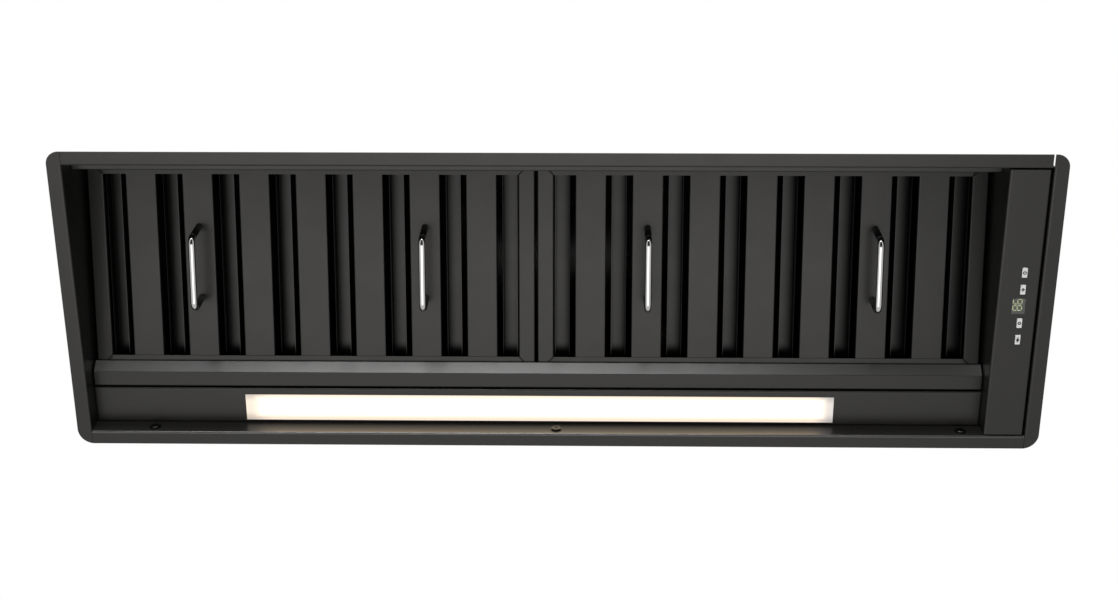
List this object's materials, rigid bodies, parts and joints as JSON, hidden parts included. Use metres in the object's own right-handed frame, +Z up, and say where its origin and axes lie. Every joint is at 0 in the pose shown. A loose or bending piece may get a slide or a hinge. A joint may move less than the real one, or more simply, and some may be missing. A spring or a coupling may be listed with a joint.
{
  "type": "undermount range hood",
  "caption": "Range hood that fits up into a cabinet's floor: flanged black canopy with tilted baffle filters, grease channel, light strip, side controls, blower and duct collar.",
  "frame": {"origin": "centre of the lower face of the flange that covers the cabinet's cut-out", "axes": "+X to the cook's right where the controls are, +Y to the wall behind, +Z up into the cabinet"},
  "size_m": [1.17, 0.37, 0.3792],
  "materials": {
    "black_coat": "satin powder coat",
    "filter_coat": "satin powder coat",
    "galvanised": "galvanised sheet, matt",
    "handle_chrome": "polished",
    "bright_screw": "zinc plated",
    "dark_screw": "blackened",
    "rivet": "coated",
    "opal_diffuser": "opal",
    "light_carrier": "plain",
    "light_board": "white board",
    "key_cap": "satin",
    "clear_pane": "clear",
    "display": "display face",
    "dark_plastic": "moulded",
    "circuit_board": "circuit board",
    "supply_case": "moulded",
    "motor_coat": "satin",
    "winding": "wound copper",
    "bearing": "sintered bronze",
    "shaft_steel": "ground",
    "capacitor_case": "drawn",
    "terminal_plastic": "moulded"
  },
  "bodies": {
    "hood": {"canopy_shell": "black_coat", "side_panel_left": "black_coat", "side_panel_right": "black_coat", "front_filter_ledge": "black_coat", "grease_channel": "black_coat", "light_housing": "black_coat", "light_lid": "galvanised", "led_diffuser": "opal_diffuser", "led_carrier": "light_carrier", "led_board": "light_board", "control_panel": "black_coat", "display_window": "clear_pane", "display_module": "display", "control_carrier": "dark_plastic", "control_board": "circuit_board", "power_unit": "supply_case", "led_driver": "supply_case", "fan_casing": "dark_plastic", "fan_cheek_left": "dark_plastic", "fan_cheek_right": "dark_plastic", "motor_case": "motor_coat", "motor_stator": "winding", "motor_bearings": "bearing", "motor_bracket": "galvanised", "motor_screws": "bright_screw", "run_capacitor": "capacitor_case", "blower_housing": "galvanised", "outlet_spigot": "dark_plastic", "damper_pin": "shaft_steel", "terminal_box": "galvanised", "terminal_lid": "galvanised", "terminal_block": "terminal_plastic", "cable_gland": "dark_plastic", "canopy_rivets": "rivet", "fixing_screws": "dark_screw", "channel_screws": "bright_screw", "housing_screws": "bright_screw", "control_screws": "bright_screw"},
    "filter_left": {"filter_frame_left": "filter_coat", "filter_lower_slats_left": "filter_coat", "filter_upper_slats_left": "filter_coat", "filter_handle_outer_left": "handle_chrome", "filter_handle_inner_left": "handle_chrome", "filter_handle_screws_left": "bright_screw"},
    "filter_right": {"filter_frame_right": "filter_coat", "filter_lower_slats_right": "filter_coat", "filter_upper_slats_right": "filter_coat", "filter_handle_outer_right": "handle_chrome", "filter_handle_inner_right": "handle_chrome", "filter_handle_screws_right": "bright_screw"},
    "fan_rotor": {"fan_wheel": "dark_plastic", "motor_rotor": "shaft_steel"},
    "flap_front": {"damper_flap_front": "dark_plastic"},
    "flap_rear": {"damper_flap_rear": "dark_plastic"},
    "button_power_key": {"button_power": "key_cap"},
    "button_fan_key": {"button_fan": "key_cap"},
    "button_timer_key": {"button_timer": "key_cap"},
    "button_light_key": {"button_light": "key_cap"}
  },
  "joints": [
    {"name": "button_power_press", "type": "slide", "parent": "hood", "child": "button_power_key", "axis": [0, 0, 1], "range_m": [0, 0.0007], "stiffness_N_per_m": 2500},
    {"name": "button_fan_press", "type": "slide", "parent": "hood", "child": "button_fan_key", "axis": [0, 0, 1], "range_m": [0, 0.0007], "stiffness_N_per_m": 2500},
    {"name": "button_timer_press", "type": "slide", "parent": "hood", "child": "button_timer_key", "axis": [0, 0, 1], "range_m": [0, 0.0007], "stiffness_N_per_m": 2500},
    {"name": "button_light_press", "type": "slide", "parent": "hood", "child": "button_light_key", "axis": [0, 0, 1], "range_m": [0, 0.0007], "stiffness_N_per_m": 2500},
    {"name": "fan_spin", "type": "hinge", "parent": "hood", "child": "fan_rotor", "pos_m": [0, 0, 0.245], "axis": [1, 0, 0], "continuous": true},
    {"name": "flap_front_hinge", "type": "hinge", "parent": "hood", "child": "flap_front", "pos_m": [0, 0.03, 0.3492], "axis": [-1, 0, 0], "range_deg": [0, 80]},
    {"name": "flap_rear_hinge", "type": "hinge", "parent": "hood", "child": "flap_rear", "pos_m": [0, 0.03, 0.3492], "axis": [1, 0, 0], "range_deg": [0, 80]},
    {"name": "filter_left_slide", "type": "slide", "parent": "hood", "child": "filter_left", "axis": [0, 0.9863, -0.165], "range_m": [0, 0.0086]},
    {"name": "filter_right_slide", "type": "slide", "parent": "hood", "child": "filter_right", "axis": [0, 0.9863, -0.165], "range_m": [0, 0.0086]}
  ]
}
